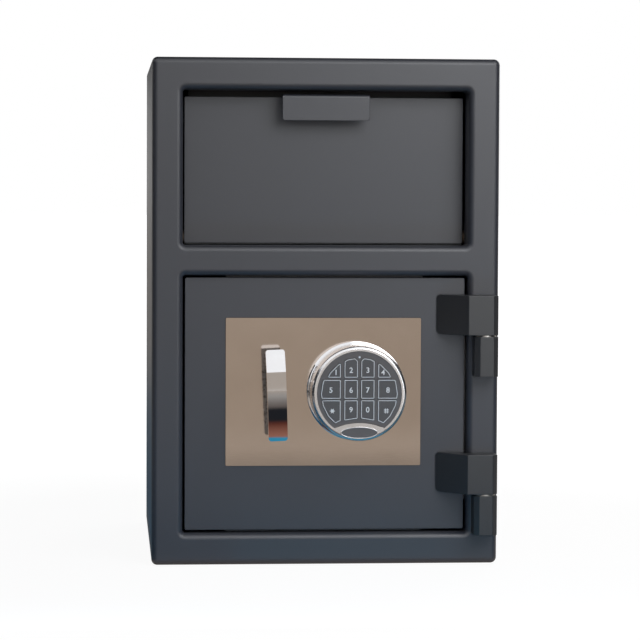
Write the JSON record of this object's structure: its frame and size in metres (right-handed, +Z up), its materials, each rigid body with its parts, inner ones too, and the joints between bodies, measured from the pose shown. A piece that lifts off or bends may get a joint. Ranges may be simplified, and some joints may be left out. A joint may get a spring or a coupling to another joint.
{
  "type": "drop safe with deposit hopper",
  "caption": "Steel drop safe with a tilting deposit hopper above a hinged door that carries a round keypad and a lever handle on a polished plate.",
  "frame": {"origin": "middle of the body's underside, centred between the four anchor holes", "axes": "+X to the right seen from the front, +Y to the back, +Z up; the door and hopper face -Y"},
  "size_m": [0.35, 0.3892, 0.51],
  "materials": {
    "paint": "satin powder coat, charcoal",
    "hinge_paint": "satin powder coat, charcoal",
    "inner_paint": "thin powder coat, charcoal",
    "polished_plate": "polished, warm tint",
    "chrome": "bright chrome plate",
    "steel": "plain machined",
    "bronze": "plain bearing bronze",
    "zinc": "die-cast, plain",
    "face": "semi-gloss, dark grey",
    "keys": "satin, dark grey with pale numbers",
    "light": "clear white",
    "rubber": "matte black"
  },
  "bodies": {
    "body": {"body_wrap": "paint", "back_plate": "paint", "front_frame": "paint", "door_stops": "inner_paint", "hinge_knuckle_upper": "hinge_paint", "hinge_knuckle_lower": "hinge_paint", "hinge_pins": "steel", "hinge_washers": "bronze", "hopper_brackets": "inner_paint", "hopper_bushes": "bronze", "chute_plate": "inner_paint", "baffle": "inner_paint", "baffle_comb": "steel"},
    "hopper": {"hopper_panel": "paint", "finger_pull": "paint", "hopper_tray": "inner_paint", "hopper_wing_left": "inner_paint", "hopper_wing_right": "inner_paint", "hopper_pins": "steel", "hopper_stop_lugs": "steel"},
    "door": {"door_plate": "paint", "hinge_leaf_upper": "hinge_paint", "hinge_leaf_lower": "hinge_paint", "polished_plate": "polished_plate", "dead_bar": "steel", "bolt_guide": "steel", "guide_posts": "steel", "spindle_bush": "bronze", "inner_cover": "paint", "cover_screws": "steel", "lock_case": "zinc", "lock_screws": "steel", "swing_bolt_pin": "steel", "keypad_base": "chrome", "keypad_shell": "chrome", "keypad_face": "face", "key_mat": "rubber", "battery_cover": "chrome", "cover_inlay": "face", "status_light": "light"},
    "handle": {"handle": "chrome", "spindle": "steel", "cam": "steel"},
    "boltwork": {"bolt_carrier": "steel", "locking_bolts": "chrome", "bolt_screws": "steel"},
    "swing_bolt": {"swing_bolt": "steel"},
    "key_1": {"key_1": "keys"},
    "key_2": {"key_2": "keys"},
    "key_3": {"key_3": "keys"},
    "key_4": {"key_4": "keys"},
    "key_5": {"key_5": "keys"},
    "key_6": {"key_6": "keys"},
    "key_7": {"key_7": "keys"},
    "key_8": {"key_8": "keys"},
    "key_star": {"key_star": "keys"},
    "key_9": {"key_9": "keys"},
    "key_0": {"key_0": "keys"},
    "key_hash": {"key_hash": "keys"}
  },
  "joints": [
    {"name": "door_swing", "type": "hinge", "parent": "body", "child": "door", "pos_m": [0.16, -0.189, 0.162], "axis": [0, 0, 1], "range_deg": [0, 115]},
    {"name": "hopper_tilt", "type": "hinge", "parent": "body", "child": "hopper", "pos_m": [0, -0.133, 0.329], "axis": [1, 0, 0], "range_deg": [0, 45]},
    {"name": "handle_turn", "type": "hinge", "parent": "door", "child": "handle", "pos_m": [-0.052, -0.166, 0.189], "axis": [0, 1, 0], "range_deg": [0, 90]},
    {"name": "boltwork_slide", "type": "slide", "parent": "door", "child": "boltwork", "axis": [-1, 0, 0], "range_m": [0, 0.02]},
    {"name": "swing_bolt_turn", "type": "hinge", "parent": "door", "child": "swing_bolt", "pos_m": [-0.021, -0.142, 0.166], "axis": [0, -1, 0], "range_deg": [0, 90]},
    {"name": "key_1_press", "type": "slide", "parent": "door", "child": "key_1", "axis": [0, 1, 0], "range_m": [0, 0.0008], "stiffness_N_per_m": 400},
    {"name": "key_2_press", "type": "slide", "parent": "door", "child": "key_2", "axis": [0, 1, 0], "range_m": [0, 0.0008], "stiffness_N_per_m": 400},
    {"name": "key_3_press", "type": "slide", "parent": "door", "child": "key_3", "axis": [0, 1, 0], "range_m": [0, 0.0008], "stiffness_N_per_m": 400},
    {"name": "key_4_press", "type": "slide", "parent": "door", "child": "key_4", "axis": [0, 1, 0], "range_m": [0, 0.0008], "stiffness_N_per_m": 400},
    {"name": "key_5_press", "type": "slide", "parent": "door", "child": "key_5", "axis": [0, 1, 0], "range_m": [0, 0.0008], "stiffness_N_per_m": 400},
    {"name": "key_6_press", "type": "slide", "parent": "door", "child": "key_6", "axis": [0, 1, 0], "range_m": [0, 0.0008], "stiffness_N_per_m": 400},
    {"name": "key_7_press", "type": "slide", "parent": "door", "child": "key_7", "axis": [0, 1, 0], "range_m": [0, 0.0008], "stiffness_N_per_m": 400},
    {"name": "key_8_press", "type": "slide", "parent": "door", "child": "key_8", "axis": [0, 1, 0], "range_m": [0, 0.0008], "stiffness_N_per_m": 400},
    {"name": "key_star_press", "type": "slide", "parent": "door", "child": "key_star", "axis": [0, 1, 0], "range_m": [0, 0.0008], "stiffness_N_per_m": 400},
    {"name": "key_9_press", "type": "slide", "parent": "door", "child": "key_9", "axis": [0, 1, 0], "range_m": [0, 0.0008], "stiffness_N_per_m": 400},
    {"name": "key_0_press", "type": "slide", "parent": "door", "child": "key_0", "axis": [0, 1, 0], "range_m": [0, 0.0008], "stiffness_N_per_m": 400},
    {"name": "key_hash_press", "type": "slide", "parent": "door", "child": "key_hash", "axis": [0, 1, 0], "range_m": [0, 0.0008], "stiffness_N_per_m": 400}
  ],
  "couplings": [
    {"joint": "handle_turn", "follows": "boltwork_slide", "rad_per_m": 78.54},
    {"joint": "swing_bolt_turn", "follows": "boltwork_slide", "rad_per_m": 78.54}
  ]
}
